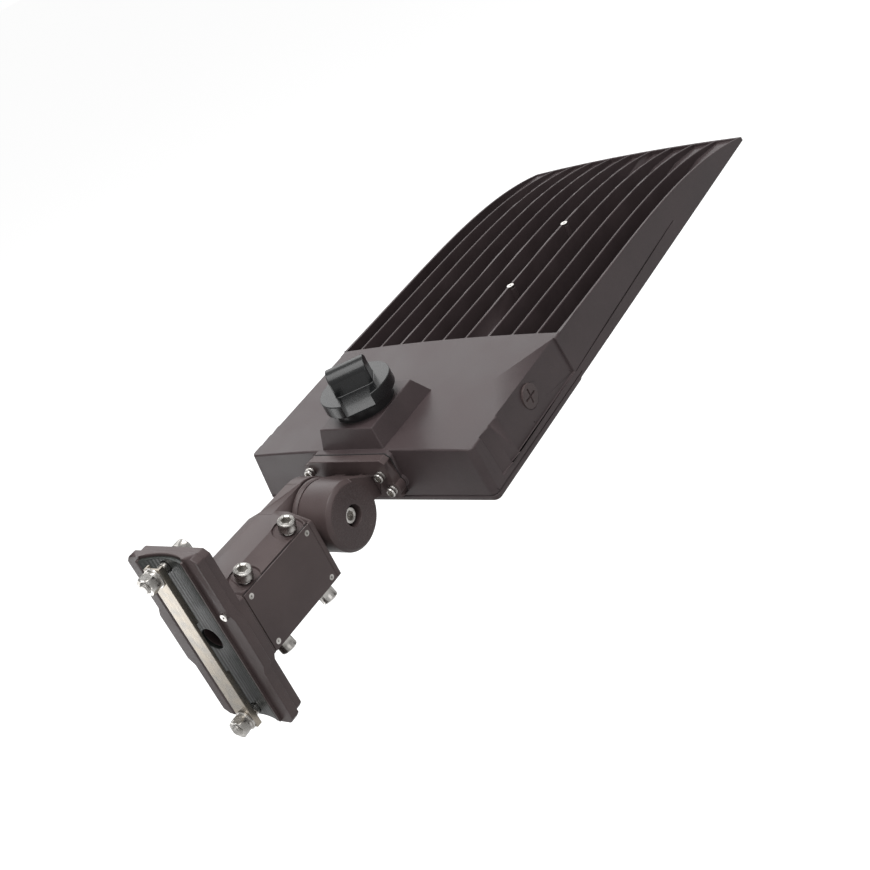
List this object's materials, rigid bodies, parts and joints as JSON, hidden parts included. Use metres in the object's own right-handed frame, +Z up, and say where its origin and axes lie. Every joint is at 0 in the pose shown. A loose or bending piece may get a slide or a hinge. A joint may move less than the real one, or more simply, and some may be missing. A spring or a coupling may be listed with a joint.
{
  "type": "shoebox area light",
  "caption": "Flat finned outdoor area light on a tilting knuckle, slip-over arm and pole saddle, with a twist-lock photocontrol socket and shorting cap.",
  "frame": {"origin": "centre of the pole seat: on the plane of the rubber pad's two lips, midway between the pole bolts", "axes": "+X out along the arm, +Z up along the pole, +Y to the left seen from the pole"},
  "size_m": [0.859, 0.2854, 0.1971],
  "materials": {
    "bronze_powder_coat": "fine-textured satin bronze powder coat on die-cast aluminium",
    "stainless_fasteners": "bright stainless steel",
    "stainless_sheet": "brushed stainless sheet",
    "black_rubber": "matt moulded rubber",
    "driver_case": "satin aluminium case",
    "surge_case": "matt black plastic case",
    "terminal_plastic": "pale nylon",
    "white_board": "white solder mask on an aluminium board",
    "led_phosphor": "yellow phosphor",
    "clear_lens": "clear moulded optics",
    "socket_plastic": "black moulded plastic",
    "cap_plastic": "glossy black moulded plastic",
    "blade_brass": "plain brass"
  },
  "bodies": {
    "pole_saddle": {"saddle_plate": "bronze_powder_coat", "saddle_pad": "black_rubber", "bonding_screw": "stainless_fasteners", "pole_bolts": "stainless_fasteners"},
    "backing": {"backing_channel": "stainless_sheet", "pole_flat_washers": "stainless_fasteners", "pole_spring_washers": "stainless_fasteners", "pole_nuts": "stainless_fasteners"},
    "arm": {"arm_body": "bronze_powder_coat", "clamp_bolts": "stainless_fasteners", "wiring_cover": "bronze_powder_coat", "wiring_cover_gasket": "black_rubber", "wiring_cover_screws": "stainless_fasteners", "pivot_bolt": "stainless_fasteners", "pivot_washers": "stainless_fasteners", "pivot_nut": "stainless_fasteners"},
    "lamp": {"knuckle_bracket": "bronze_powder_coat", "bracket_gasket": "black_rubber", "bracket_bolts": "stainless_fasteners", "housing": "bronze_powder_coat", "side_plug": "bronze_powder_coat", "plug_o_ring": "black_rubber", "fin_screws": "stainless_fasteners", "wire_grommet": "black_rubber", "driver_door": "bronze_powder_coat", "door_seal": "black_rubber", "door_screws": "stainless_fasteners", "led_driver": "driver_case", "surge_protector": "surge_case", "terminal_block": "terminal_plastic", "inner_screws": "stainless_fasteners", "led_board_rear": "white_board", "led_board_front": "white_board", "led_chips": "led_phosphor", "lens_plate_rear": "clear_lens", "lens_plate_front": "clear_lens", "lens_gasket": "black_rubber", "lens_bezel": "bronze_powder_coat", "bezel_screws": "stainless_fasteners"},
    "photocontrol_socket": {"receptacle": "socket_plastic", "receptacle_gasket": "black_rubber", "receptacle_retainer": "socket_plastic"},
    "cap": {"shorting_cap": "cap_plastic", "cap_gasket": "black_rubber", "cap_blades": "blade_brass"}
  },
  "joints": [
    {"name": "backing_slide", "type": "slide", "parent": "pole_saddle", "child": "backing", "axis": [1, 0, 0], "range_m": [-0.0025, 0.0015]},
    {"name": "arm_roll", "type": "hinge", "parent": "pole_saddle", "child": "arm", "pos_m": [0, 0, 0], "axis": [1, 0, 0], "range_deg": [-180, 180]},
    {"name": "head_tilt", "type": "hinge", "parent": "arm", "child": "lamp", "pos_m": [0.16472, 0, 0.0043], "axis": [0, -1, 0], "range_deg": [-93, 87]},
    {"name": "socket_turn", "type": "hinge", "parent": "lamp", "child": "photocontrol_socket", "pos_m": [0.25965, -0.0234, 0.05984], "axis": [-0.0523, 0, 0.9986], "range_deg": [-175, 175]},
    {"name": "cap_twist", "type": "hinge", "parent": "photocontrol_socket", "child": "cap", "pos_m": [0.25911, -0.0234, 0.07003], "axis": [-0.0523, 0, 0.9986], "range_deg": [0, 35]}
  ]
}
